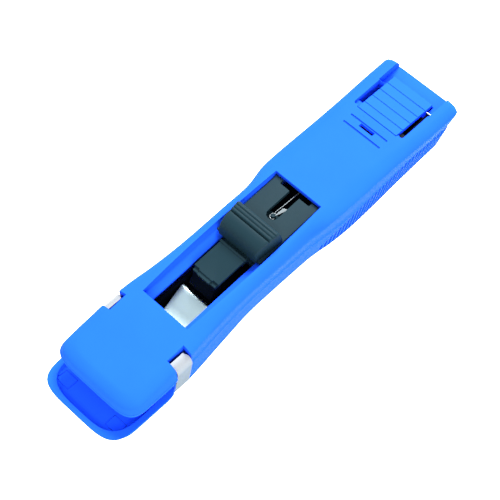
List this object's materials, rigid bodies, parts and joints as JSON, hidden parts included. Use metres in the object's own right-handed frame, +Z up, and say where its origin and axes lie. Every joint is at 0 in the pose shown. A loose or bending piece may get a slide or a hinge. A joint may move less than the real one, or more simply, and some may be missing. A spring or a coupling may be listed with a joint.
{
  "type": "paper clip applicator",
  "caption": "Slim hand-held applicator with a drafted, ribbed body, a thumb slider in a long top window, an open two-jaw nose and a steel band around it.",
  "frame": {"origin": "Floor level under the middle of the body's length and width", "axes": "X across the body, -Y towards the jaws, +Z up"},
  "size_m": [0.0384, 0.175, 0.0321],
  "materials": {
    "body_blue": "satin moulded",
    "slider_black": "fine matte",
    "tray_black": "fine matte",
    "band_steel": "brushed",
    "spring_steel": "bright drawn",
    "screw_steel": "zinc plated",
    "clip_steel": "bright nickel"
  },
  "bodies": {
    "lower": {"lower_shell": "body_blue", "clip_tray": "tray_black", "magazine_plate": "tray_black", "lower_ramp": "spring_steel", "hinge_pin": "spring_steel", "tray_screw_front": "screw_steel", "tray_screw_rear": "screw_steel", "nose_band": "band_steel"},
    "upper": {"upper_shell": "body_blue", "upper_ramp": "spring_steel", "spring_anchor": "spring_steel", "flap_pin": "spring_steel", "flap_spring": "spring_steel"},
    "slider": {"thumb_slider": "slider_black", "slider_carriage": "slider_black", "push_finger": "slider_black", "finger_leaf": "spring_steel", "carriage_screw": "screw_steel", "spring_post": "spring_steel", "return_spring": "spring_steel"},
    "front_clip": {"clip_front": "clip_steel"},
    "clip_queue": {"clip_queue_1": "clip_steel", "clip_queue_2": "clip_steel", "clip_queue_3": "clip_steel", "clip_queue_4": "clip_steel", "clip_queue_5": "clip_steel", "clip_queue_6": "clip_steel"},
    "flap": {"loading_flap": "body_blue"}
  },
  "joints": [
    {"name": "jaw_hinge", "type": "hinge", "parent": "lower", "child": "upper", "pos_m": [0, 0.0805, 0.0045], "axis": [-1, 0, 0], "range_deg": [0, 1], "stiffness_Nm_per_rad": 20, "deforming": ["nose_band"]},
    {"name": "slider_slide", "type": "slide", "parent": "upper", "child": "slider", "axis": [0, -0.9985, -0.0549], "range_m": [0, 0.031], "stiffness_N_per_m": 150, "springref_m": -0.01, "deforming": ["return_spring", "clip_front"]},
    {"name": "clip_slide", "type": "slide", "parent": "lower", "child": "front_clip", "axis": [0, -1, 0], "range_m": [0, 0.031]},
    {"name": "queue_slide", "type": "slide", "parent": "lower", "child": "clip_queue", "axis": [0, 1, 0], "range_m": [0, 0.01]},
    {"name": "flap_hinge", "type": "hinge", "parent": "upper", "child": "flap", "pos_m": [0, 0.0643, 0.0259], "axis": [1, 0, 0], "range_deg": [0, 12], "stiffness_Nm_per_rad": 0.15, "springref_deg": -2.86, "deforming": ["flap_spring"]}
  ],
  "couplings": [
    {"joint": "clip_slide", "follows": "slider_slide", "ratio": 1}
  ]
}
